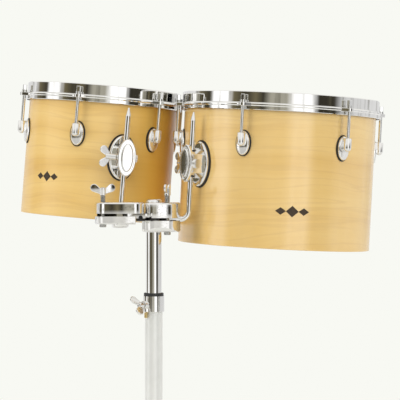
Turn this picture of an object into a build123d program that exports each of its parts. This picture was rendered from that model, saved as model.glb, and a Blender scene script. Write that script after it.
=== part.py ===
from build123d import *
import math
import os

# Double drum set: two single-headed maple concert drums on a height-adjustable tripod stand.
# Millimetres, +Z up, floor at Z = 0. Player's side is +Y, the audience side is -Y.

# ---------------------------------------------------------------- driving dimensions
SHIFT_X = -40.266               # moves the stand's tube axis so the origin is the footprint's centre
SHIFT_Y = -26.084

# drums: outer radius, shell length, centre of the shell's top plane, lean, first rod's angle, bracket angle
LARGE = dict(name="large", R=162.0, H=235.0, top=(215.1, 110.0, 876.0), lean=3.0, first=-84.5,
             bracket=-55.0, bz=-104.0, rod_top=-20.0)
SMALL = dict(name="small", R=127.5, H=207.0, top=(-86.0, 185.0, 894.0), lean=4.6, first=-76.0,
             bracket=18.5, bz=-101.0, rod_top=-18.0)

SHELL_T = 6.0               # shell wall
N_LUG = 6
ROD_OFF = 12.0              # tension rod circle outside the shell
ROD_R = 2.8                 # tension rod
HOOP_TOP = 17.0             # hoop's rim above the head
HOOP_BOTTOM = -13.0
EAR_R = 7.2
EAR_TOP = -2.0
EAR_BOTTOM = -7.5
LUG_Z = -67.0               # centre of a lug's plate below the shell's top
GASKET_A, GASKET_B = 13.2, 21.5
LUG_GASKET_T = 1.6
TOWER_R = 6.6
TOWER_H = 22.0

BR_A, BR_B = 25.0, 39.0     # mount bracket gasket half width and half height
BR_GASKET_T = 2.0
LROD_R = 4.75               # L-rod
LROD_OFF = 19.5             # L-rod axis outside the shell
BUSH_R = 7.2
BODY_FRONT = 27.5

TUBE_R = 12.7               # upper tube
LOWER_R = 14.3              # lower tube
LOWER_IN = 12.95
UPPER_Z = (380.0, 706.0)
LOWER_Z = (42.0, 564.0)
COLLAR_Z = (538.0, 564.0)
BUSH_Z = (564.0, 569.0)

L_SPLIT = 696.5             # left clamp's parting plane
R_SPLIT = 689.0             # right clamp's parting plane
L_CL_Y = -20.0              # left clamp's centre line
R_ELBOW = 13.5

LEG_AZ = (60.0, 180.0, 300.0)
LEG_PIVOT_R, LEG_PIVOT_Z = 27.0, 320.0
LEG_ANGLE = 41.5            # leg from the vertical
LEG_LEN = 414.0
BRACE_LEN = 130.0           # same from the collar pivot to the brace pivot
LEG_R = 7.0

os.makedirs("parts", exist_ok=True)
NODES = {}


def put(name, shapes):
    """Collects the solids of one node."""
    if not isinstance(shapes, (list, tuple)):
        shapes = [shapes]
    solids = []
    for s in shapes:
        solids.extend(s.solids())
    NODES[name] = solids


def fil(shape, edges, r):
    """Fillets edges, with smaller radii when the full one can't be made."""
    for k in (1.0, 0.7, 0.45):
        try:
            out = fillet(edges, r * k)
            if out.is_valid:
                return out
        except Exception:
            pass
    return shape


def cyl(r, z0, z1, x=0.0, y=0.0):
    return Pos(x, y, (z0 + z1) / 2) * Cylinder(r, z1 - z0)


def ring(ro, ri, z0, z1, x=0.0, y=0.0):
    return cyl(ro, z0, z1, x, y) - cyl(ri, z0 - 1, z1 + 1, x, y)


def block(x0, x1, y0, y1, z0, z1):
    return Pos((x0 + x1) / 2, (y0 + y1) / 2, (z0 + z1) / 2) * Box(x1 - x0, y1 - y0, z1 - z0)


def stadium(x0, x1, y, r, z0, z1):
    """Flat plate with round ends, its end centres at x0 and x1."""
    sk = Pos((x0 + x1) / 2, y) * SlotCenterToCenter(x1 - x0, 2 * r)
    return Pos(0, 0, z0) * extrude(sk, z1 - z0)


def radial(phi):
    """Frame at angle phi (from -Y towards +X): local +X outward, +Y along the tangent, +Z up."""
    return Rot(0, 0, phi - 90.0)


def rod_along(p0, p1, r):
    """Round bar from p0 to p1."""
    a, b = Vector(*p0), Vector(*p1)
    return Plane(origin=a, z_dir=(b - a)) * Pos(0, 0, (b - a).length / 2) * Cylinder(r, (b - a).length)


def wing(shaft_r, shaft_len, hub_r=5.0, hub_h=11.0, lobe_r=6.8, lobe_x=11.0, lobe_z=13.5, thick=3.8, bore=0.0, lift=0.0):
    """Wing screw: shaft down from Z = 0, hub and two round lobes above it."""
    hub = fil_top(cyl(hub_r, 0, hub_h + lift), 1.2)
    body = hub
    for s in (-1, 1):
        with BuildSketch(Plane.XZ) as sk:
            with Locations((s * lobe_x, lobe_z + lift)):
                Circle(lobe_r)
            with Locations((s * 2.0, 4.6 + lift)):
                Circle(3.4)
            make_hull()
        lobe = extrude(sk.sketch, thick / 2, both=True)
        lobe = fil(lobe, lobe.edges().filter_by(GeomType.LINE, reverse=True).filter_by_position(Axis.Y, -99, -thick / 2 + 0.01), 1.3)
        lobe = fil(lobe, lobe.edges().filter_by_position(Axis.Y, thick / 2 - 0.01, 99), 1.3)
        body = body + lobe
    if bore:
        body = body - cyl(bore, -1, 40)
    if shaft_len > 0:
        body = body + cyl(shaft_r, -shaft_len, 0.5)
    return body


def fil_top(shape, r):
    return fil(shape, shape.faces().sort_by(Axis.Z)[-1].edges(), r)


# ---------------------------------------------------------------- one drum, in its own frame
# local frame: origin on the axis in the plane of the shell's top edge, +Z up the axis
def drum(d):
    n, R, H = d["name"], d["R"], d["H"]
    loc = Location(d["top"], (0, d["lean"], 0))
    angles = [d["first"] + 60.0 * k for k in range(N_LUG)]
    rr = R + ROD_OFF

    # --- shell with a 45 degree bearing edge inside the top, and its screw holes
    shell = ring(R, R - SHELL_T, -H, 0)
    shell = chamfer(shell.faces().sort_by(Axis.Z)[-1].edges().sort_by(SortBy.LENGTH)[0], 3.4)
    shell = fil(shell, shell.faces().sort_by(Axis.Z)[0].edges(), 1.2)
    sz = (LUG_Z + 13.0, LUG_Z - 13.0)
    holes = []
    for a in angles:
        for z in sz:
            holes.append(radial(a) * Pos(R - 3, 0, z) * Rot(0, 90, 0) * Cylinder(2.2, 24))
    bz = d["bz"]
    bscrew = [(-12.0, bz + 27.0), (12.0, bz + 27.0), (-12.0, bz - 27.0), (12.0, bz - 27.0)]
    for t, z in bscrew:
        holes.append(radial(d["bracket"]) * Pos(R - 3, t, z) * Rot(0, 90, 0) * Cylinder(2.2, 24))
    vent = radial(d["bracket"] + 180) * Pos(R - 3, 0, -H * 0.5) * Rot(0, 90, 0) * Cylinder(5.0, 24)
    shell = shell - holes - vent
    put(n + "_shell", loc * shell)

    # --- head: film disc over a metal flesh hoop
    film = cyl(R + 4.2, 0.0, 0.4)
    put(n + "_head_film", loc * film)
    put(n + "_flesh_hoop", loc * ring(R + 4.2, R + 0.8, -6.5, 0.0))

    # --- die-cast counter hoop: tall collar, rounded flange, short skirt, six ears
    prof = Polyline((R - 0.6, 0.4), (R - 0.6, HOOP_TOP - 1.4), (R + 0.8, HOOP_TOP), (R + 3.2, HOOP_TOP), (R + 4.6, HOOP_TOP - 1.4),
                    (R + 4.6, -0.8), (R + 7.2, -2.2), (R + 8.0, -3.6), (R + 8.0, -5.4), (R + 7.0, -7.0),
                    (R + 7.0, HOOP_BOTTOM + 0.8), (R + 6.2, HOOP_BOTTOM), (R + 5.0, HOOP_BOTTOM), (R + 5.0, 0.4), close=True)
    hoop = revolve(Plane.XZ * make_face(prof), Axis.Z)
    for a in angles:
        with BuildSketch() as sk:
            with Locations((rr, 0)):
                Circle(EAR_R)
            with Locations((R + 6.2, 0)):
                Rectangle(1.0, 25.0)
            make_hull()
        ear = Pos(0, 0, EAR_BOTTOM) * extrude(sk.sketch, EAR_TOP - EAR_BOTTOM)
        ear = fil(ear, ear.edges().group_by(Axis.Z)[-1], 1.2)
        ear = fil(ear, ear.edges().group_by(Axis.Z)[0], 1.2)
        ear = ear - cyl(R + 5.4, -40, 40) - cyl(3.2, -40, 40, rr, 0)
        hoop = hoop + radial(a) * ear
    put(n + "_counter_hoop", loc * hoop)

    # --- lugs: oval plate, neck, round tower with a domed bottom
    lugs, gaskets, inserts, rods, screws = [], [], [], [], []
    plate_in = cyl(R + LUG_GASKET_T, -H, 0)
    tz = LUG_Z + 5.5
    sk_g = Ellipse(GASKET_A, GASKET_B)
    sk_p = Ellipse(GASKET_A - 1.6, GASKET_B - 1.6)
    yz = Plane(origin=(0, 0, LUG_Z), x_dir=(0, 1, 0), z_dir=(1, 0, 0))
    gasket0 = Pos(R - 6, 0, 0) * extrude(yz * sk_g, 14) & ring(R + LUG_GASKET_T, R, LUG_Z - 40, LUG_Z + 40)
    plate0 = extrude(yz * sk_p, R + 5.4)
    outer = plate0.faces().sort_by(Axis.X)[-1].edges()
    plate0 = fil(plate0, outer, 2.4)
    plate0 = plate0 - plate_in
    tower0 = cyl(TOWER_R, tz - TOWER_H / 2 + TOWER_R, tz + TOWER_H / 2, rr, 0)
    tower0 = fil(tower0, tower0.faces().sort_by(Axis.Z)[-1].edges(), 1.0)
    tower0 = tower0 + Pos(rr, 0, tz - TOWER_H / 2 + TOWER_R) * Sphere(TOWER_R)
    neck0 = Pos(0, 0, 0) * block(R + 2.6, rr, -5.2, 5.2, tz - TOWER_H / 2 + 4.5, tz + TOWER_H / 2 - 1.2)
    bore0 = cyl(4.55, tz - 6.5, tz + TOWER_H / 2 + 1, rr, 0) + cyl(3.2, tz - 9.0, tz, rr, 0)
    sh = [Pos(R - 3, 0, z) * Rot(0, 90, 0) * Cylinder(2.2, 13) for z in sz]
    lug0 = (plate0 + tower0 + neck0) - bore0 - sh
    gasket0 = gasket0 - sh
    insert0 = ring(4.5, ROD_R + 0.06, tz - 6.4, tz + TOWER_H / 2 - 1.6, rr, 0)
    # --- tension rod: long shank, collar and square head standing on the ear
    rod0 = cyl(ROD_R, tz - 8.0, EAR_TOP, rr, 0)
    rod0 += cyl(4.9, EAR_TOP, EAR_TOP + 1.4, rr, 0) + cyl(4.4, EAR_TOP + 1.4, EAR_TOP + 4.2, rr, 0)
    head = Pos(rr, 0, EAR_TOP + 4.2 + 4.6) * Box(6.2, 6.2, 9.2)
    head = fil(head, head.edges().filter_by(Axis.Z), 0.8)
    rod0 += fil_top(head, 0.9)
    ri = math.sqrt((R - SHELL_T) ** 2 - 4.6 ** 2) - 0.02
    heads = [Pos(ri - 1.5, 0, z) * Rot(0, 90, 0) * (Cylinder(4.5, 3.0)) for z in sz]
    shank = [Pos((ri - 0.5 + R + 3.4) / 2, 0, z) * Rot(0, 90, 0) * Cylinder(2.0, R + 3.4 - ri + 0.5) for z in sz]
    for a in angles:
        f = loc * radial(a)
        lugs.append(f * lug0)
        gaskets.append(f * gasket0)
        inserts.append(f * insert0)
        rods.append(f * rod0)
        for h, s in zip(heads, shank):
            screws.append(f * (h + s))
    put(n + "_lugs", lugs)
    put(n + "_lug_gaskets", gaskets)
    put(n + "_swivel_inserts", inserts)
    put(n + "_tension_rods", rods)

    # --- mount bracket: gasket, base plate, faceted body, oval cap
    fb = loc * radial(d["bracket"])
    yzb = Plane(origin=(0, 0, bz), x_dir=(0, 1, 0), z_dir=(1, 0, 0))
    bh = [Pos(R + 2, t, z) * Rot(0, 90, 0) * Cylinder(2.2, 18) for t, z in bscrew]
    gas = (Pos(R - 8, 0, 0) * extrude(yzb * Ellipse(BR_A, BR_B), 18)) & ring(R + BR_GASKET_T, R, bz - 60, bz + 60)
    gas = gas - bh
    put(n + "_bracket_gasket", fb * gas)
    plate = extrude(yzb * Ellipse(BR_A - 2.2, BR_B - 2.2), R + 6.2)
    plate = fil(plate, plate.faces().sort_by(Axis.X)[-1].edges(), 3.0)
    plate = plate - cyl(R + BR_GASKET_T, bz - 60, bz + 60)
    bh2 = [Pos(R - 2, t, z) * Rot(0, 90, 0) * Cylinder(2.2, 14.6) for t, z in bscrew]
    plate = plate - bh2
    put(n + "_bracket_plate", fb * plate)
    rx = R + LROD_OFF
    body = None
    with BuildSketch(yzb.offset(R + 6.2)) as s1:
        RegularPolygon(24.0, 6, rotation=90)
    with BuildSketch(yzb.offset(R + BODY_FRONT)) as s2:
        RegularPolygon(24.0, 6, rotation=90)
    hexa = extrude(s1.sketch, BODY_FRONT - 6.2)
    hexa = hexa & (Pos(R + 17, 0, bz) * Box(60, 31, 60))
    hexa = fil(hexa, hexa.edges().filter_by(Axis.X), 2.0)
    body = hexa - cyl(BUSH_R + 0.06, bz - 60, bz + 60, rx, 0)
    # the screw hole on one side and a closed round boss on the other
    body = body + Pos(rx, 17.0, bz) * Rot(90, 0, 0) * Cylinder(7.5, 5.0)
    body = body - cyl(BUSH_R + 0.06, bz - 60, bz + 60, rx, 0)
    body = body - Pos(rx, -14.0, bz) * Rot(90, 0, 0) * Cylinder(3.06, 14.0)
    put(n + "_bracket_body", fb * body)
    cap = Pos(R + BODY_FRONT, 0, 0) * extrude(yzb * Ellipse(16.0, 30.5), 5.0)
    cap = fil(cap, cap.faces().sort_by(Axis.X)[-1].edges(), 1.8)
    groove = Pos(R + BODY_FRONT + 3.6, 0, 0) * extrude(yzb * (Ellipse(12.6, 26.6) - Ellipse(10.4, 23.6)), 4)
    dome = Pos(R + BODY_FRONT + 3.0, 0, 0) * extrude(yzb * Ellipse(10.4, 23.6), 3.6)
    dome = fil(dome, dome.faces().sort_by(Axis.X)[-1].edges(), 2.2)
    cap = cap - groove + dome
    put(n + "_bracket_cap", fb * cap)
    rib = math.sqrt((R - SHELL_T) ** 2 - 4.6 ** 2) - 0.02
    for t, z in bscrew:
        # heads bear on a flat 1.2 mm clear of the curved wall's nearest point
        xh = math.sqrt((R - SHELL_T) ** 2 - (abs(t) + 4.6) ** 2) - 0.02
        sc = Pos(xh - 1.5, t, z) * Rot(0, 90, 0) * Cylinder(4.5, 3.0)
        sc = sc + Pos((xh - 0.5 + R + 3.6) / 2, t, z) * Rot(0, 90, 0) * Cylinder(2.0, R + 3.6 - xh + 0.5)
        screws.append(fb * sc)
    put(n + "_shell_screws", screws)
    ws = wing(3.0, 8.3, lift=7.5)
    put(n + "_bracket_wing_screw", fb * Pos(rx, -16.2, bz) * Rot(90, 0, 0) * Rot(0, 0, 90) * ws)
    put(n + "_rod_bush", fb * ring(BUSH_R, LROD_R + 0.06, bz - 22, bz + 22, rx, 0))
    d["loc"] = loc
    d["fb"] = fb
    d["rod_top_pt"] = (fb * Pos(rx, 0, d["rod_top"])).position
    d["rod_low_pt"] = (fb * Pos(rx, 0, -H)).position
    d["rod_dir"] = (d["rod_top_pt"] - d["rod_low_pt"]).normalized()


drum(LARGE)
drum(SMALL)


# ---------------------------------------------------------------- L-rods
def l_rod(d, start, split_z, elbow):
    """Rod from its inner end in the clamp, along the parting plane, up through the bracket, with a conical tip."""
    top, w = d["rod_top_pt"], d["rod_dir"]
    t = (top.Z - split_z) / w.Z
    corner = top - w * t
    s = Vector(corner.X if start[0] is None else start[0], corner.Y if start[1] is None else start[1], split_z)
    cone = 14.0
    end = top - w * cone
    path = FilletPolyline(s, corner, end, radius=elbow)
    bar = sweep(Plane(path @ 0, z_dir=path % 0) * Circle(LROD_R), path=path)
    tip = Plane(end, z_dir=w) * Pos(0, 0, cone / 2) * Cone(LROD_R, 1.2, cone)
    d["corner"] = corner
    d["start"] = s
    return bar + tip


small_l = l_rod(SMALL, (None, -31.0), L_SPLIT, 18.0)
large_l = l_rod(LARGE, (20.0, None), R_SPLIT, R_ELBOW)
put("small_l_rod", small_l)
put("large_l_rod", large_l)

# ---------------------------------------------------------------- holder
LX = SMALL["corner"].X          # left clamp's rod channel
STUD_L = (LX - 27.0, L_CL_Y)
STUD_R = (22.0, -10.0)
GAP = 2.3                       # half of the parting gap

l_chan = rod_along((LX, -31.6, L_SPLIT), (LX, 30, L_SPLIT), LROD_R + 0.05)
lu = stadium(LX - 24.0, -31.5, L_CL_Y, 16.0, L_SPLIT + GAP, 717.0)
lu = fil(lu, lu.faces().sort_by(Axis.Z)[-1].edges(), 3.0)
lu = lu - l_chan - cyl(3.2, 600, 800, *STUD_L)
put("left_upper_jaw", lu)
ll = stadium(LX - 24.0, -31.5, L_CL_Y, 16.0, 681.5, L_SPLIT - GAP)
ll = fil(ll, ll.faces().sort_by(Axis.Z)[0].edges(), 2.5)
ll = ll - block(-29.0, 20, -60, 20, 600, 760)
boss = cyl(14.0, 675.5, 683.0, LX + 1.0, L_CL_Y)
boss = fil(boss, boss.faces().sort_by(Axis.Z)[0].edges(), 4.0)
ll = ll + boss
# closed lip along the back of the parting gap
llip = stadium(LX - 24.0, -31.5, L_CL_Y, 16.0, L_SPLIT - GAP - 0.5, L_SPLIT + GAP - 0.15)
ll = ll + (llip & block(-160, -31.0, L_CL_Y + 9.5, L_CL_Y + 20, 600, 760))
ll = ll - l_chan - cyl(3.2, 600, 800, *STUD_L)
put("left_lower_jaw", ll)

r_dir = (LARGE["corner"] - LARGE["start"]).normalized()
r_chan = rod_along(tuple(LARGE["start"] - r_dir * 0.6), tuple(LARGE["start"] + r_dir * 60.0), LROD_R + 0.05)
RCX = 24.5
hb = stadium(0.0, RCX, 0.0, 19.0, R_SPLIT + GAP, 716.5)
hb = fil(hb, hb.faces().sort_by(Axis.Z)[-1].edges(), 3.5)
dome = Pos(0, 0, 716.0) * Cylinder(13.0, 6.0, align=(Align.CENTER, Align.CENTER, Align.MIN))
dome = fil(dome, dome.faces().sort_by(Axis.Z)[-1].edges(), 4.5)
hb = hb + dome + cyl(15.2, 668.0, 700.0)
# arm to the left clamp: a tongue between its jaws and a small boss with a socket screw
tongue = block(-43.0, -6.0, L_CL_Y - 8.0, L_CL_Y + 8.0, L_SPLIT - GAP + 0.05, L_SPLIT + GAP - 0.05)
tboss = block(-28.6, -13.5, L_CL_Y - 15.0, L_CL_Y + 15.5, 686.0, L_SPLIT + GAP - 0.05)
tboss = fil(tboss, tboss.edges().filter_by(Axis.Y), 2.0)
hb = hb + tongue + tboss
hb = hb - cyl(TUBE_R + 0.06, 600, 706.2) - r_chan - cyl(3.2, 600, 800, *STUD_R)
hsx, hsz = -21.0, 692.4
hb = hb - Pos(hsx, L_CL_Y - 11.0, hsz) * Rot(90, 0, 0) * Cylinder(3.5, 9.0)
put("holder_body", hb)
hs = Pos(hsx, L_CL_Y - 10.7, hsz) * Rot(90, 0, 0) * Cylinder(3.45, 7.6)
hs = hs - Pos(hsx, L_CL_Y - 14.5, hsz) * Rot(90, 0, 0) * extrude(RegularPolygon(1.9, 6), 2.4, both=True)
put("holder_socket_screw", hs)
rl = stadium(0.0, RCX, 0.0, 19.0, 668.5, R_SPLIT - GAP)
rl = fil(rl, rl.faces().sort_by(Axis.Z)[0].edges(), 3.0)
rlip = stadium(0.0, RCX, 0.0, 19.0, R_SPLIT - GAP - 0.5, R_SPLIT + GAP - 0.15)
rl = rl + (rlip & block(2.0, 60, 12.2, 30, 600, 760))
rl = rl - cyl(15.3, 600, 760) - r_chan - cyl(3.2, 600, 800, *STUD_R)
rl = rl - block(-60, -13.2, -30, -4.2, 600, 760)
put("right_lower_jaw", rl)


def stud(x, y, z_under, z_top):
    s = cyl(3.0, z_under - 1, z_top, x, y)
    h = cyl(5.6, z_under - 5.0, z_under, x, y)
    h = fil(h, h.faces().sort_by(Axis.Z)[0].edges(), 1.6)
    return s + h


put("clamp_studs", [stud(STUD_L[0], STUD_L[1], 681.5, 741.0), stud(STUD_R[0], STUD_R[1], 668.5, 740.5)])
put("clamp_springs", [ring(4.6, 3.2, 717.0, 728.0, *STUD_L), ring(4.6, 3.2, 716.5, 727.5, *STUD_R)])
wn = wing(3.0, 0.0, hub_r=5.4, hub_h=12.0, lobe_r=6.4, lobe_x=14.2, lobe_z=12.0, bore=3.06)
put("left_wing_nut", Pos(STUD_L[0], STUD_L[1], 728.3) * wn)
put("right_wing_nut", Pos(STUD_R[0], STUD_R[1], 727.8) * Rot(0, 0, 78) * wn)

# ---------------------------------------------------------------- stand: tubes and height lock
put("upper_tube", ring(TUBE_R, TUBE_R - 1.6, *UPPER_Z))
AZ_S = 224.0                    # height screw's direction
zs = 550.0
bsh = ring(16.2, TUBE_R + 0.08, BUSH_Z[0], BUSH_Z[1])
bsh = fil(bsh, bsh.faces().sort_by(Axis.Z)[-1].edges(), 0.8)
put("height_bushing", bsh)
col = ring(17.2, LOWER_R + 0.0, *COLLAR_Z)
col = fil(col, col.faces().sort_by(Axis.Z)[0].edges(), 1.0)
hboss = Rot(0, 0, AZ_S) * Pos(19.5, 0, zs) * Rot(0, 90, 0) * Cylinder(6.6, 9.0)
col = col + hboss - cyl(LOWER_R, 500, 600)
col = col - Rot(0, 0, AZ_S) * Pos(20, 0, zs) * Rot(0, 90, 0) * Cylinder(3.06, 20.0)
col = col - Rot(0, 0, -62) * block(14, 22, -1.3, 1.3, COLLAR_Z[0] - 1, COLLAR_Z[1] + 1)
put("height_collar", col)
lower = ring(LOWER_R, LOWER_IN, *LOWER_Z) - Rot(0, 0, AZ_S) * Pos(14, 0, zs) * Rot(0, 90, 0) * Cylinder(3.06, 8.0)
put("lower_tube", lower)
put("height_wing_screw", Rot(0, 0, AZ_S) * Pos(24.6, 0, zs) * Rot(0, 90, 0) * Rot(0, 0, 38) * wing(3.0, 11.6, hub_r=4.8, hub_h=9.0))
pin = cyl(2.6, 529.0, 537.9, -12.2, -12.2)
pin = fil(pin, pin.faces().sort_by(Axis.Z)[0].edges(), 0.9)
put("height_lock_pin", Pos(-0.6, -0.6, 0) * pin)

# ---------------------------------------------------------------- tripod
PR, PZ = LEG_PIVOT_R, LEG_PIVOT_Z
sA, cA = math.sin(math.radians(LEG_ANGLE)), math.cos(math.radians(LEG_ANGLE))
SZ = PZ - 2 * BRACE_LEN * cA        # brace pivots on the slider

lc = ring(20.0, LOWER_R, PZ - 15, PZ + 15)
lc = fil(lc, lc.faces().sort_by(Axis.Z)[-1].edges(), 2.0)
for az in LEG_AZ:
    ears = Pos(0, 0, 0) * block(17.0, PR, -8.6, 8.6, PZ - 8, PZ + 8) + Pos(PR, 0, PZ) * Rot(90, 0, 0) * Cylinder(8.0, 17.2)
    ears = ears - block(LOWER_R + 3.4, 60, -4.3, 4.3, PZ - 30, PZ + 30)
    lc = lc + Rot(0, 0, az) * ears
for az in LEG_AZ:
    lc = lc - Rot(0, 0, az) * block(18.2, 60, -4.3, 4.3, PZ - 30, PZ + 30)
    lc = lc - Rot(0, 0, az) * Pos(PR, 0, PZ) * Rot(90, 0, 0) * Cylinder(2.5, 40)
put("leg_collar", lc)
put("leg_pins", [Rot(0, 0, az) * Pos(PR, 0, PZ) * Rot(90, 0, 0) * Cylinder(2.5, 18.4) for az in LEG_AZ])

sl = ring(19.0, LOWER_R + 0.06, SZ - 12, SZ + 12)
sl = fil(sl, sl.faces().sort_by(Axis.Z)[-1].edges(), 2.0)
for az in LEG_AZ:
    tg = block(17.0, PR, -7.0, 7.0, SZ - 7, SZ + 7) + Pos(PR, 0, SZ) * Rot(90, 0, 0) * Cylinder(7.0, 14.0)
    sl = sl + Rot(0, 0, az) * tg
sl = sl - cyl(LOWER_R + 0.06, SZ - 40, SZ + 40)
AZ_L = 240.0
sboss = Rot(0, 0, AZ_L) * Pos(21, 0, SZ) * Rot(0, 90, 0) * Cylinder(7.0, 9.0)
sl = sl + sboss - cyl(LOWER_R + 0.06, SZ - 40, SZ + 40)
sl = sl - Rot(0, 0, AZ_L) * Pos(21, 0, SZ) * Rot(0, 90, 0) * Cylinder(3.06, 20.0)
put("brace_slider", sl)
put("slider_wing_screw", Rot(0, 0, AZ_L) * Pos(25.8, 0, SZ) * Rot(0, 90, 0) * Rot(0, 0, 90) * wing(3.0, 11.2))

for k, az in enumerate(LEG_AZ):
    f = Rot(0, 0, az)
    ex, ez = PR + LEG_LEN * sA, PZ - LEG_LEN * cA
    p = lambda s: (PR + s * sA, 0, PZ - s * cA)
    tube = rod_along(p(15.0), p(LEG_LEN), LEG_R)
    eye = Pos(PR, 0, PZ) * Rot(90, 0, 0) * Cylinder(7.6, 8.0)
    lnk = Location(Plane(origin=p(9.0), x_dir=(0, 1, 0), z_dir=(sA, 0, -cA))) * Box(8.0, 12.4, 18.0)
    leg = tube + eye + lnk
    leg = leg - Pos(PR, 0, PZ) * Rot(90, 0, 0) * Cylinder(2.56, 40)
    bp = p(BRACE_LEN)
    leg = leg - Pos(*bp) * Rot(90, 0, 0) * Cylinder(2.56, 40)
    put("leg_%d" % (k + 1), f * leg)
    # rubber foot: sleeve over the leg's end, round toe cut flat where it stands
    toe = Pos(*p(LEG_LEN + 1.0)) * Sphere(12.6)
    foot = rod_along(p(LEG_LEN - 42), p(LEG_LEN), 10.6) + rod_along(p(LEG_LEN - 8), p(LEG_LEN + 1.0), 12.6) + toe
    foot = foot & block(0, 500, -60, 60, 0, 200)
    foot = foot - rod_along(p(LEG_LEN - 60), p(LEG_LEN), LEG_R)
    put("foot_%d" % (k + 1), f * foot)
    # brace: two strips either side of the leg, riveted through it
    q0, q1 = (PR, 0, SZ), bp
    bar = None
    for s in (-1, 1):
        y = s * (LEG_R + 2.2)
        mid = ((q0[0] + q1[0]) / 2, y, (q0[2] + q1[2]) / 2)
        strip = Pos(*mid) * Rot(0, 90 - math.degrees(math.atan2(q1[2] - q0[2], q1[0] - q0[0])) - 90, 0) * Box(BRACE_LEN, 2.8, 12.0)
        strip += Pos(q0[0], y, q0[2]) * Rot(90, 0, 0) * Cylinder(6.0, 2.8)
        strip += Pos(q1[0], y, q1[2]) * Rot(90, 0, 0) * Cylinder(6.0, 2.8)
        bar = strip if bar is None else bar + strip
    bar = bar + Pos(*bp) * Rot(90, 0, 0) * Cylinder(2.5, 2 * LEG_R + 9.0)
    put("brace_%d" % (k + 1), f * bar)

# ---------------------------------------------------------------- write one file per node
lo, hi = [1e9] * 3, [-1e9] * 3
for name, solids in NODES.items():
    moved = [Pos(SHIFT_X, SHIFT_Y, 0) * s for s in solids]
    comp = Compound(children=moved) if len(moved) > 1 else moved[0]
    comp.label = name
    b = comp.bounding_box()
    lo = [min(lo[0], b.min.X), min(lo[1], b.min.Y), min(lo[2], b.min.Z)]
    hi = [max(hi[0], b.max.X), max(hi[1], b.max.Y), max(hi[2], b.max.Z)]
    export_step(comp, "parts/%s.step" % name)
print("nodes", len(NODES))
print("box", [round(v, 3) for v in lo], [round(v, 3) for v in hi])
print("shift wanted", round(SHIFT_X - (lo[0] + hi[0]) / 2, 3), round(SHIFT_Y - (lo[1] + hi[1]) / 2, 3))
for d in (LARGE, SMALL):
    print(d["name"], "rod top", d["rod_top_pt"], "dir", d["rod_dir"], "corner", d["corner"], "start", d["start"])
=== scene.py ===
import bpy, bmesh, math, random
from mathutils import Vector, Matrix


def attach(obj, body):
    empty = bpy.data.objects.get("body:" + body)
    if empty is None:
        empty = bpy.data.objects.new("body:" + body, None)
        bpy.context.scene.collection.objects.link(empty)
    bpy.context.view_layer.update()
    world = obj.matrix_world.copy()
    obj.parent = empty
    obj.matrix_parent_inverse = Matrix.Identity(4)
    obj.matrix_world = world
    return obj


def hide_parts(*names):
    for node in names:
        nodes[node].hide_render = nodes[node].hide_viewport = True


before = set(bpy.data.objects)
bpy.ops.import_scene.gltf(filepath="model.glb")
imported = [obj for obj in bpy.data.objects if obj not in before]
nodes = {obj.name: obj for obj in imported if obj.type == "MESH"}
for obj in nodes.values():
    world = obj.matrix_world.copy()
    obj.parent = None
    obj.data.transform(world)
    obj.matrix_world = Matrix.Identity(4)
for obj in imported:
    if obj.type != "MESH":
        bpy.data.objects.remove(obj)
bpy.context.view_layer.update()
random.seed(7)

SX, SY = -0.040266, -0.026084            # the stand's tube axis in the row's frame


def W(x, y, z):
    """Point given in mm from the stand's tube axis, in the row's frame in metres."""
    return Vector((x / 1000 + SX, y / 1000 + SY, z / 1000))


DRUMS = {
    "large": dict(R=0.162, H=0.235, top=W(215.1, 110.0, 876.0), lean=math.radians(3.0), first=-84.5, bracket=-55.0, bz=-0.104),
    "small": dict(R=0.1275, H=0.207, top=W(-86.0, 185.0, 894.0), lean=math.radians(4.6), first=-76.0, bracket=18.5, bz=-0.101),
}
for d in DRUMS.values():
    d["M"] = Matrix.Translation(d["top"]) @ Matrix.Rotation(d["lean"], 4, "Y")


# ------------------------------------------------------------------ camera and studio
scene = bpy.context.scene
F_PX, DIST, CAM_Z = 1718.0, 2.8, 0.761
cam_data = bpy.data.cameras.new("camera")
cam_data.sensor_width = 36.0
cam_data.lens = 36.0 * F_PX / 400.0
cam_data.clip_end = 50
cam = bpy.data.objects.new("camera", cam_data)
scene.collection.objects.link(cam)
cam.location = (SX, SY - DIST, CAM_Z)
PX, PY = 153.7, 175.0                    # where the level view axis falls in the frame
aim = Vector(((200.0 - PX) / F_PX, 1.0, -(200.0 - PY) / F_PX))
cam.rotation_euler = aim.to_track_quat("-Z", "Y").to_euler()
scene.camera = cam
scene.view_settings.view_transform = "Standard"
scene.view_settings.look = "None"
scene.view_settings.exposure = 0.0
scene.view_settings.gamma = 1.0


def area(name, loc, target, size, size_y, energy, color=(1, 1, 1), glossy=True):
    l = bpy.data.lights.new(name, "AREA")
    l.shape = "RECTANGLE"
    l.size, l.size_y = size, size_y
    l.energy = energy
    l.color = color
    o = bpy.data.objects.new(name, l)
    o.location = loc
    o.rotation_euler = (Vector(target) - Vector(loc)).to_track_quat("-Z", "Y").to_euler()
    if not glossy:
        o.visible_glossy = False
    scene.collection.objects.link(o)
    return o


area("key_left", (-3.0, -1.7, 1.7), (0, 0.1, 0.75), 1.6, 1.8, 52.0, (1.0, 0.985, 0.96), glossy=False)
area("key_right", (2.9, -1.7, 1.5), (0.1, 0.1, 0.75), 1.6, 1.8, 40.0, (1.0, 0.985, 0.96), glossy=False)
area("top_soft", (0.1, -0.6, 3.0), (0, 0.1, 0.7), 2.2, 2.2, 18.0, (1.0, 0.99, 0.97), glossy=False)

world = bpy.data.worlds.new("studio")
scene.world = world
world.use_nodes = True
wt = world.node_tree
wt.nodes.clear()


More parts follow.
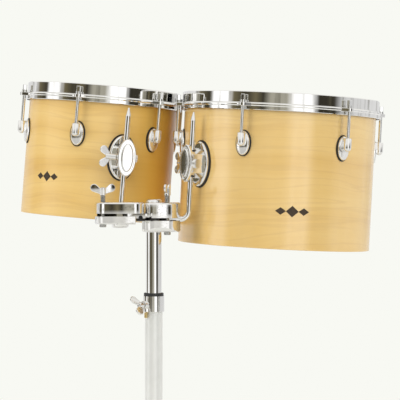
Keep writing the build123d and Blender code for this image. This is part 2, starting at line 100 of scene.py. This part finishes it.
class NB:
    """Small builder for node trees."""

    def __init__(self, nt):
        self.nt = nt

    def n(self, kind, **kw):
        node = self.nt.nodes.new(kind)
        for k, v in kw.items():
            setattr(node, k, v)
        return node

    def link(self, a, b):
        self.nt.links.new(a, b)

    def val(self, sock, v):
        if isinstance(v, bpy.types.NodeSocket):
            self.link(v, sock)
        else:
            sock.default_value = v

    def math(self, op, a, b=None, c=None):
        m = self.n("ShaderNodeMath", operation=op)
        self.val(m.inputs[0], a)
        if b is not None:
            self.val(m.inputs[1], b)
        if c is not None:
            self.val(m.inputs[2], c)
        return m.outputs[0]

    def vmath(self, op, a, b=None):
        m = self.n("ShaderNodeVectorMath", operation=op)
        self.val(m.inputs[0], a)
        if b is not None:
            self.val(m.inputs[1], b)
        return m.outputs[0]

    def comb(self, x, y, z):
        m = self.n("ShaderNodeCombineXYZ")
        self.val(m.inputs[0], x); self.val(m.inputs[1], y); self.val(m.inputs[2], z)
        return m.outputs[0]

    def sep(self, v):
        m = self.n("ShaderNodeSeparateXYZ")
        self.link(v, m.inputs[0])
        return m.outputs[0], m.outputs[1], m.outputs[2]

    def noise(self, vec, scale=1.0, detail=3.0, rough=0.5, dist=0.0):
        m = self.n("ShaderNodeTexNoise")
        self.link(vec, m.inputs["Vector"])
        m.inputs["Scale"].default_value = scale
        m.inputs["Detail"].default_value = detail
        m.inputs["Roughness"].default_value = rough
        m.inputs["Distortion"].default_value = dist
        return m.outputs["Fac"]

    def ramp(self, fac, stops, interp="LINEAR"):
        m = self.n("ShaderNodeValToRGB")
        self.link(fac, m.inputs[0])
        cr = m.color_ramp
        cr.interpolation = interp
        while len(cr.elements) < len(stops):
            cr.elements.new(0.5)
        for e, (p, c) in zip(cr.elements, stops):
            e.position = p
            e.color = c if len(c) == 4 else (*c, 1.0)
        return m.outputs[0]

    def mixc(self, fac, a, b, blend="MIX"):
        m = self.n("ShaderNodeMix", data_type="RGBA", blend_type=blend)
        self.val(m.inputs[0], fac)
        self.val(m.inputs[6], a)
        self.val(m.inputs[7], b)
        return m.outputs[2]

    def maprange(self, v, a, b, c, d):
        m = self.n("ShaderNodeMapRange")
        self.val(m.inputs[0], v)
        for i, x in enumerate((a, b, c, d)):
            self.val(m.inputs[i + 1], x)
        return m.outputs[0]

    def bump(self, height, strength, distance, normal=None):
        m = self.n("ShaderNodeBump")
        m.inputs["Strength"].default_value = strength
        m.inputs["Distance"].default_value = distance
        self.link(height, m.inputs["Height"])
        if normal is not None:
            self.link(normal, m.inputs["Normal"])
        return m.outputs[0]


def g(v):
    return (v, v, v, 1.0)


b = NB(wt)
tc = b.n("ShaderNodeTexCoord")
x, y, z = b.sep(tc.outputs["Generated"])
azi = b.math("ARCTAN2", x, b.math("MULTIPLY", y, -1.0))           # 0 towards the camera side, + to the right
azn = b.maprange(azi, -math.pi, math.pi, 0.0, 1.0)
D = lambda deg: (deg + 180.0) / 360.0
DK, MID, MUD = (0.040, 0.036, 0.026, 1.0), (0.42, 0.40, 0.33, 1.0), (0.17, 0.145, 0.085, 1.0)
bands = b.ramp(azn, [
    (D(-180), g(0.85)), (D(-122), g(0.85)), (D(-112), MUD), (D(-94), DK), (D(-87), g(1.35)), (D(-68), g(1.35)),
    (D(-60), MUD), (D(-44), DK), (D(-33), MUD), (D(-24), DK), (D(-15), MID), (D(3), MID), (D(13), g(1.4)), (D(32), g(1.4)),
    (D(40), DK), (D(60), DK), (D(72), g(0.7)), (D(180), g(0.85))])
ripple = b.noise(b.comb(b.math("MULTIPLY", azi, 9.0), b.math("MULTIPLY", z, 14.0), 0.0), 1.0, 2.0, 0.5)
bands = b.mixc(b.maprange(ripple, 0.50, 0.66, 0.0, 0.55), bands, (0.10, 0.09, 0.06, 1.0))
top = b.ramp(b.maprange(z, -1.0, 1.0, 0.0, 1.0), [(0.0, g(0.5)), (0.42, g(0.62)), (0.47, g(0.0)), (0.60, g(0.0)), (0.72, g(0.85)), (1.0, g(0.9))])
gloss = b.mixc(top, bands, (1.0, 0.99, 0.96, 1.0))
lp = b.n("ShaderNodeLightPath")
diffuse_col = (0.60, 0.60, 0.585, 1.0)
env = b.mixc(lp.outputs["Is Glossy Ray"], diffuse_col, gloss)
env = b.mixc(lp.outputs["Is Camera Ray"], env, (0.939, 0.946, 0.896, 1.0))
bg = b.n("ShaderNodeBackground")
b.link(env, bg.inputs[0])
bg.inputs[1].default_value = 1.0
wo = b.n("ShaderNodeOutputWorld")
b.link(bg.outputs[0], wo.inputs[0])


# ------------------------------------------------------------------ materials
def new_mat(name):
    m = bpy.data.materials.new(name)
    m.use_nodes = True
    nt = m.node_tree
    nt.nodes.clear()
    b = NB(nt)
    p = b.n("ShaderNodeBsdfPrincipled")
    o = b.n("ShaderNodeOutputMaterial")
    b.link(p.outputs[0], o.inputs[0])
    tc = b.n("ShaderNodeTexCoord")
    return m, b, p, tc.outputs["Object"]


def crown(b, co, cx, cz, rx, rz):
    """Height of a softly crowned face: it falls away from its middle with radii rx and rz, in metres."""
    x, y, z = b.sep(co)
    hx = b.math("MULTIPLY", b.math("POWER", b.math("ABSOLUTE", b.math("SUBTRACT", x, cx)), 2.0), -0.5 / rx)
    hz = b.math("MULTIPLY", b.math("POWER", b.math("ABSOLUTE", b.math("SUBTRACT", z, cz)), 2.0), -0.5 / rz)
    return b.math("ADD", hx, hz)


def metal(name, color, r0, r1, bump=0.05, cloud=9.0, tint=0.06, height=None, gap_shade_z=None):
    """Polished or satin metal with faint handling marks and polishing waviness."""
    m, b, p, co = new_mat(name)
    n1 = b.noise(co, cloud, 4.0, 0.6)
    n2 = b.noise(co, 140.0, 2.0, 0.5)
    dark = tuple(c * (1 - tint) for c in color) + (1.0,)
    col = b.ramp(n1, [(0.35, dark), (0.65, tuple(color) + (1.0,))])
    if gap_shade_z:
        # painted shade in the narrow parting gap: the colour goes near black over this z range, standing in for the
        # shadow inside the gap
        x, y, z = b.sep(co)
        inside = b.math("MULTIPLY", b.maprange(z, gap_shade_z[0] / 1000, gap_shade_z[0] / 1000 + 0.0003, 0.0, 0.96), b.maprange(z, gap_shade_z[1] / 1000 - 0.0003, gap_shade_z[1] / 1000, 1.0, 0.0))
        col = b.mixc(inside, col, (0.020, 0.018, 0.014, 1.0))
    b.link(col, p.inputs["Base Color"])
    p.inputs["Metallic"].default_value = 1.0
    b.link(b.maprange(n1, 0.35, 0.7, r0, r1), p.inputs["Roughness"])
    first = None
    if height is not None:
        first = b.bump(height(b, co), 1.0, 1.0)
    if bump:
        b.link(b.bump(b.math("ADD", b.math("MULTIPLY", n1, 0.7), b.math("MULTIPLY", n2, 0.08)), bump, 0.002, first), p.inputs["Normal"])
    return m


def rubber(name, color=(0.018, 0.018, 0.018), rough=(0.55, 0.75), scale=900.0, bump=0.25):
    m, b, p, co = new_mat(name)
    n1 = b.noise(co, scale, 3.0, 0.6)
    n2 = b.noise(co, 25.0, 3.0, 0.5)
    b.link(b.ramp(n2, [(0.3, tuple(color) + (1,)), (0.7, tuple(c * 1.9 for c in color) + (1,))]), p.inputs["Base Color"])
    b.link(b.maprange(n1, 0.3, 0.7, rough[0], rough[1]), p.inputs["Roughness"])
    p.inputs["Specular IOR Level"].default_value = 0.4
    b.link(b.bump(n1, bump, 0.0006), p.inputs["Normal"])
    return m


def drum_uv(b, co, d):
    """Arc length round the shell and height along its axis, in metres."""
    v = b.vmath("SUBTRACT", co, tuple(d["top"]))
    rot = b.n("ShaderNodeVectorRotate", rotation_type="Y_AXIS")
    b.link(v, rot.inputs["Vector"])
    rot.inputs["Angle"].default_value = -d["lean"]
    x, y, z = b.sep(rot.outputs[0])
    a = b.math("ARCTAN2", x, b.math("MULTIPLY", y, -1.0))
    return b.math("MULTIPLY", a, d["R"]), z


def maple(name, d, seed, inside=False):
    m, b, p, co = new_mat(name)
    u, v = drum_uv(b, co, d)
    # slow wander of the grain, then long streaks, narrow growth lines and short flecks
    wander = b.noise(b.comb(b.math("MULTIPLY", u, 3.2), b.math("MULTIPLY", v, 5.0), seed), 1.0, 2.0, 0.5)
    vw = b.math("ADD", v, b.math("MULTIPLY", b.math("SUBTRACT", wander, 0.5), 0.075))
    long_ = b.noise(b.comb(b.math("MULTIPLY", u, 1.6), b.math("MULTIPLY", vw, 26.0), seed + 3.0), 1.0, 4.0, 0.55)
    lines = b.noise(b.comb(b.math("MULTIPLY", u, 2.4), b.math("MULTIPLY", vw, 58.0), seed + 9.0), 1.0, 2.0, 0.45)
    fleck = b.noise(b.comb(b.math("MULTIPLY", u, 60.0), b.math("MULTIPLY", vw, 900.0), seed + 5.0), 1.0, 2.0, 0.5)
    figure = b.noise(b.comb(b.math("MULTIPLY", u, 22.0), b.math("MULTIPLY", v, 6.0), seed + 1.0), 1.0, 2.0, 0.5)
    base = b.ramp(long_, [(0.28, (0.760, 0.480, 0.140)), (0.46, (0.820, 0.548, 0.185)), (0.62, (0.850, 0.590, 0.215)), (0.80, (0.872, 0.625, 0.250))])
    line = b.ramp(lines, [(0.455, g(0)), (0.485, g(1)), (0.50, g(1)), (0.53, g(0))])
    col = b.mixc(b.math("MULTIPLY", line, 0.20), base, (0.60, 0.345, 0.12, 1.0))
    col = b.mixc(b.maprange(fleck, 0.45, 0.75, 0.0, 0.16), col, (0.66, 0.42, 0.17, 1.0))
    col = b.mixc(b.maprange(figure, 0.35, 0.7, 0.0, 0.14), col, (0.90, 0.70, 0.40, 1.0))
    if inside:
        col = b.mixc(0.25, col, (0.62, 0.42, 0.22, 1.0))
    if d is DRUMS["small"]:
        # painted reflected light: the shell is tinted deeper gold on the side turned to the larger drum, standing in
        # for light bounced off that drum
        painted_bounce_tint = b.math("MULTIPLY", b.maprange(u, 0.010, 0.100, 0.0, 0.72), b.maprange(u, 0.17, 0.26, 1.0, 0.0))
        col = b.mixc(painted_bounce_tint, col, (0.900, 0.520, 0.060, 1.0))
    b.link(col, p.inputs["Base Color"])
    b.link(b.maprange(long_, 0.3, 0.7, 0.36, 0.50), p.inputs["Roughness"])
    p.inputs["Specular IOR Level"].default_value = 0.35
    p.inputs["Coat Weight"].default_value = 0.0 if inside else (0.9 if d is DRUMS["large"] else 0.4)
    p.inputs["Coat Roughness"].default_value = 0.16
    p.inputs["Coat IOR"].default_value = 2.0 if d is DRUMS["large"] else 1.6
    b.link(b.bump(b.math("ADD", b.math("MULTIPLY", fleck, 0.5), b.math("MULTIPLY", lines, 0.5)), 0.05, 0.0006), p.inputs["Normal"])
    return m


def film_mat():
    m, b, p, co = new_mat("coated_film")
    n = b.noise(co, 1500.0, 2.0, 0.6)
    c = b.noise(co, 14.0, 4.0, 0.6)
    b.link(b.ramp(c, [(0.3, (0.80, 0.795, 0.76)), (0.7, (0.88, 0.875, 0.85))]), p.inputs["Base Color"])
    b.link(b.maprange(n, 0.3, 0.7, 0.45, 0.62), p.inputs["Roughness"])
    p.inputs["Subsurface Weight"].default_value = 0.08
    p.inputs["Subsurface Radius"].default_value = (0.004, 0.004, 0.004)
    b.link(b.bump(n, 0.35, 0.0004), p.inputs["Normal"])
    return m


def satin_tube():
    m, b, p, co = new_mat("satin_tube")
    x, y, z = b.sep(co)
    brush = b.noise(b.comb(b.math("MULTIPLY", x, 900.0), b.math("MULTIPLY", y, 900.0), b.math("MULTIPLY", z, 8.0)), 1.0, 3.0, 0.6)
    cloud = b.noise(co, 20.0, 4.0, 0.6)
    b.link(b.ramp(cloud, [(0.3, (0.78, 0.79, 0.765)), (0.7, (0.86, 0.865, 0.845))]), p.inputs["Base Color"])
    p.inputs["Metallic"].default_value = 0.35
    b.link(b.maprange(brush, 0.3, 0.7, 0.32, 0.46), p.inputs["Roughness"])
    b.link(b.bump(brush, 0.06, 0.0005), p.inputs["Normal"])
    return m


CHROME = metal("chrome_polished", (0.90, 0.895, 0.88), 0.035, 0.075, 0.035)
CHROME_CAST = metal("chrome_cast", (0.90, 0.895, 0.88), 0.045, 0.10, 0.07, cloud=22.0)
CHROME_ROD = metal("chrome_rod", (0.88, 0.88, 0.87), 0.06, 0.12, 0.03, cloud=30.0)
STEEL = metal("zinc_steel", (0.62, 0.62, 0.60), 0.22, 0.38, 0.12, cloud=60.0, tint=0.15)
ALU = metal("plain_aluminium", (0.74, 0.74, 0.75), 0.25, 0.4, 0.1, cloud=40.0, tint=0.1)
BRASS = metal("plain_brass", (0.80, 0.60, 0.26), 0.12, 0.28, 0.08, cloud=60.0, tint=0.2)
BLACK_OX = metal("black_oxide", (0.06, 0.06, 0.06), 0.3, 0.45, 0.1, cloud=80.0, tint=0.3)
RUBBER = rubber("gasket_black")
def crowned(name, cx, cz, rx, rz, gap_shade_z=None):
    return metal(name, (0.90, 0.895, 0.88), 0.045, 0.09, 0.05, cloud=22.0, gap_shade_z=gap_shade_z,
                 height=lambda b, co: crown(b, co, cx / 1000 + SX, cz / 1000, rx / 1000, rz / 1000))


def lug_height(n):
    """Each lug plate is crowned about its own middle."""
    d = DRUMS[n]

    def h(b, co):
        u, v = drum_uv(b, co, d)
        deg = b.math("MULTIPLY", u, 57.29578 / d["R"])
        f = b.math("SUBTRACT", b.math("FLOORED_MODULO", b.math("SUBTRACT", deg, d["first"] - 30.0 - 720.0), 60.0), 30.0)
        du = b.math("MULTIPLY", f, d["R"] / 57.29578)
        dv = b.math("ADD", v, 0.070)
        hx = b.math("MULTIPLY", b.math("MULTIPLY", du, du), -0.5 / 0.030)
        hz = b.math("MULTIPLY", b.math("MULTIPLY", dv, dv), -0.5 / 0.045)
        return b.math("ADD", hx, hz)
    return h


def thread_height(b, co):
    x, y, z = b.sep(co)
    return b.math("MULTIPLY", b.math("SINE", b.math("MULTIPLY", z, 2 * math.pi / 0.0013)), 0.00022)


LUG = {k: metal("lug_" + k, (0.90, 0.895, 0.88), 0.045, 0.09, 0.05, cloud=30.0, height=lug_height(k)) for k in DRUMS}
STUD = metal("stud_steel", (0.62, 0.62, 0.60), 0.18, 0.34, 0.1, cloud=60.0, tint=0.2, height=thread_height)
JAW_LU = crowned("jaw_left_upper", -34.0, 707.0, 85.0, 110.0)
# the lower jaws and the holder body carry painted shade across their parting gaps (z range in mm)
JAW_LL = crowned("jaw_left_lower", -50.0, 699.0, 90.0, 60.0, (694.25, 699.5))
JAW_R = crowned("jaw_right", 2.0, 700.0, 62.0, 75.0, (686.75, 691.35))
JAW_RL = crowned("jaw_right_lower", 9.0, 689.0, 60.0, 55.0, (686.75, 692.5))
NUT_L = crowned("nut_left", -82.1, 742.0, 40.0, 60.0)
CAP_S = metal("cap_small", (0.90, 0.895, 0.88), 0.04, 0.08, 0.04, height=lambda b, co: b.math("MULTIPLY", b.sep(co)[0], 0.05))
FOOT = rubber("foot_black", (0.022, 0.022, 0.022), (0.6, 0.85), 500.0, 0.4)
NYLON = rubber("nylon_black", (0.02, 0.02, 0.02), (0.3, 0.45), 1200.0, 0.1)
FILM = film_mat()
SATIN = satin_tube()
MAPLE = {k: maple("maple_" + k, d, 2.0 if k == "large" else 31.0) for k, d in DRUMS.items()}
MAPLE_IN = {k: maple("maple_inside_" + k, d, 12.0 if k == "large" else 41.0, True) for k, d in DRUMS.items()}


def assign(name, m):
    o = nodes[name]
    if not o.material_slots:
        o.data.materials.append(m)
    for s in o.material_slots:
        s.material = m


for n in DRUMS:
    assign(n + "_shell", MAPLE[n])
    assign(n + "_head_film", FILM)
    assign(n + "_flesh_hoop", ALU)
    assign(n + "_counter_hoop", CHROME)
    assign(n + "_lugs", LUG[n])
    assign(n + "_lug_gaskets", RUBBER)
    assign(n + "_swivel_inserts", BRASS)
    assign(n + "_tension_rods", CHROME_ROD)
    assign(n + "_shell_screws", STEEL)
    assign(n + "_bracket_gasket", RUBBER)
    assign(n + "_bracket_plate", CHROME)
    assign(n + "_bracket_body", CHROME_CAST)
    assign(n + "_bracket_cap", CAP_S if n == "small" else CHROME_CAST)
    assign(n + "_bracket_wing_screw", CHROME_CAST)
    assign(n + "_rod_bush", NYLON)
    assign(n + "_l_rod", CHROME_ROD)
assign("left_upper_jaw", JAW_LU)
assign("left_lower_jaw", JAW_LL)
assign("holder_body", JAW_R)
assign("right_lower_jaw", JAW_RL)
assign("height_collar", CHROME_CAST)
assign("left_wing_nut", NUT_L)
for n in ("right_wing_nut", "height_wing_screw", "slider_wing_screw", "leg_collar", "brace_slider"):
    assign(n, CHROME_CAST)
assign("clamp_studs", STUD)
assign("clamp_springs", STEEL)
assign("holder_socket_screw", BLACK_OX)
assign("upper_tube", CHROME)
assign("height_bushing", NYLON)
assign("height_lock_pin", BRASS)
assign("lower_tube", SATIN)
assign("leg_pins", STEEL)
for k in (1, 2, 3):
    assign("leg_%d" % k, CHROME_ROD)
    assign("brace_%d" % k, CHROME_ROD)
    assign("foot_%d" % k, FOOT)

# ------------------------------------------------------------------ pieces made here
def mesh_piece(name, verts, faces, mat, smooth=True):
    me = bpy.data.meshes.new(name)
    me.from_pydata(verts, [], faces)
    me.validate()
    bm = bmesh.new()
    bm.from_mesh(me)
    bmesh.ops.recalc_face_normals(bm, faces=bm.faces)
    bm.to_mesh(me)
    bm.free()
    for p in me.polygons:
        p.use_smooth = smooth
    me.materials.append(mat)
    o = bpy.data.objects.new(name, me)
    scene.collection.objects.link(o)
    return o


def coil(verts, faces, cx, cy, z0, z1, r, wire, turns, seg=24, ring=8):
    """Closed round wire wound round a vertical axis, in metres."""
    n = int(turns * seg)
    base = len(verts)
    pitch = (z1 - z0 - 2 * wire) / turns
    for i in range(n + 1):
        t = i / seg
        a = 2 * math.pi * t
        c = Vector((cx + r * math.cos(a), cy + r * math.sin(a), z0 + wire + pitch * t))
        out = Vector((math.cos(a), math.sin(a), 0))
        up = Vector((0, 0, 1))
        for k in range(ring):
            q = 2 * math.pi * k / ring
            verts.append(tuple(c + out * (wire * math.cos(q)) + up * (wire * math.sin(q))))
    for i in range(n):
        for k in range(ring):
            a0 = base + i * ring + k
            a1 = base + i * ring + (k + 1) % ring
            faces.append((a0, a1, a1 + ring, a0 + ring))
    faces.append(tuple(base + k for k in range(ring)))
    faces.append(tuple(base + n * ring + k for k in reversed(range(ring))))


sv, sf = [], []
for (cx, cy, z0, z1) in ((-82.096, -20.0, 717.1, 727.9), (22.0, -10.0, 716.6, 727.4)):
    w = W(cx, cy, 0)
    coil(sv, sf, w.x, w.y, z0 / 1000, z1 / 1000, 0.0039, 0.00055, 5.5)
springs = mesh_piece("clamp_coil_springs", sv, sf, STEEL)
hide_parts("clamp_springs")
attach(springs, "holder")


def emblem(n, phi, zc, width, height):
    """Small plain ornament let into the lacquer: three lozenges in a row, bent to the shell."""
    d = DRUMS[n]
    R = d["R"]
    verts, faces = [], []

    def lozenge(uc, hw, hh):
        k = 12
        base = len(verts)
        for i in range(k + 1):
            t = -1.0 + 2.0 * i / k
            a = math.radians(phi) + (uc + hw * t) / R
            half = hh * (1.0 - abs(t)) + 0.0003
            for (r, v) in ((R + 0.00002, -half), (R + 0.00030, -half * 0.94), (R + 0.00030, half * 0.94), (R + 0.00002, half)):
                verts.append(tuple(d["M"] @ Vector((r * math.sin(a), -r * math.cos(a), zc + v))))
        for i in range(k):
            for j in range(4):
                a0, a1 = base + i * 4 + j, base + i * 4 + (j + 1) % 4
                faces.append((a0, a1, a1 + 4, a0 + 4))
        faces.append(tuple(base + j for j in range(4)))
        faces.append(tuple(base + k * 4 + j for j in reversed(range(4))))

    w, h = width / 2, height / 2
    lozenge(-0.68 * w, 0.30 * w, 0.55 * h)
    lozenge(0.0, 0.36 * w, 0.85 * h)
    lozenge(0.68 * w, 0.30 * w, 0.55 * h)
    m, b, p, co = new_mat("emblem_ink_" + n)
    nz = b.noise(co, 300.0, 3.0, 0.6)
    b.link(b.ramp(nz, [(0.3, (0.030, 0.018, 0.010)), (0.7, (0.060, 0.038, 0.020))]), p.inputs["Base Color"])
    b.link(b.maprange(nz, 0.3, 0.7, 0.45, 0.6), p.inputs["Roughness"])
    o = mesh_piece(n + "_emblem", verts, faces, m, smooth=False)
    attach(o, n + "_drum")
    return o


emblem("large", 5.7, -0.173, 0.056, 0.021)
emblem("small", -40.0, -0.142, 0.046, 0.020)

# ------------------------------------------------------------------ floor
bm = bmesh.new()
bmesh.ops.create_circle(bm, cap_ends=True, cap_tris=False, segments=96, radius=1.25)
me = bpy.data.meshes.new("floor")
bm.to_mesh(me); bm.free()
floor = bpy.data.objects.new("floor", me)
scene.collection.objects.link(floor)
m, b, p, co = new_mat("floor_pale")
nz = b.noise(co, 3.0, 4.0, 0.6)
b.link(b.ramp(nz, [(0.3, (0.80, 0.80, 0.77)), (0.7, (0.83, 0.83, 0.80))]), p.inputs["Base Color"])
p.inputs["Roughness"].default_value = 0.7
me.materials.append(m)

bpy.context.view_layer.update()
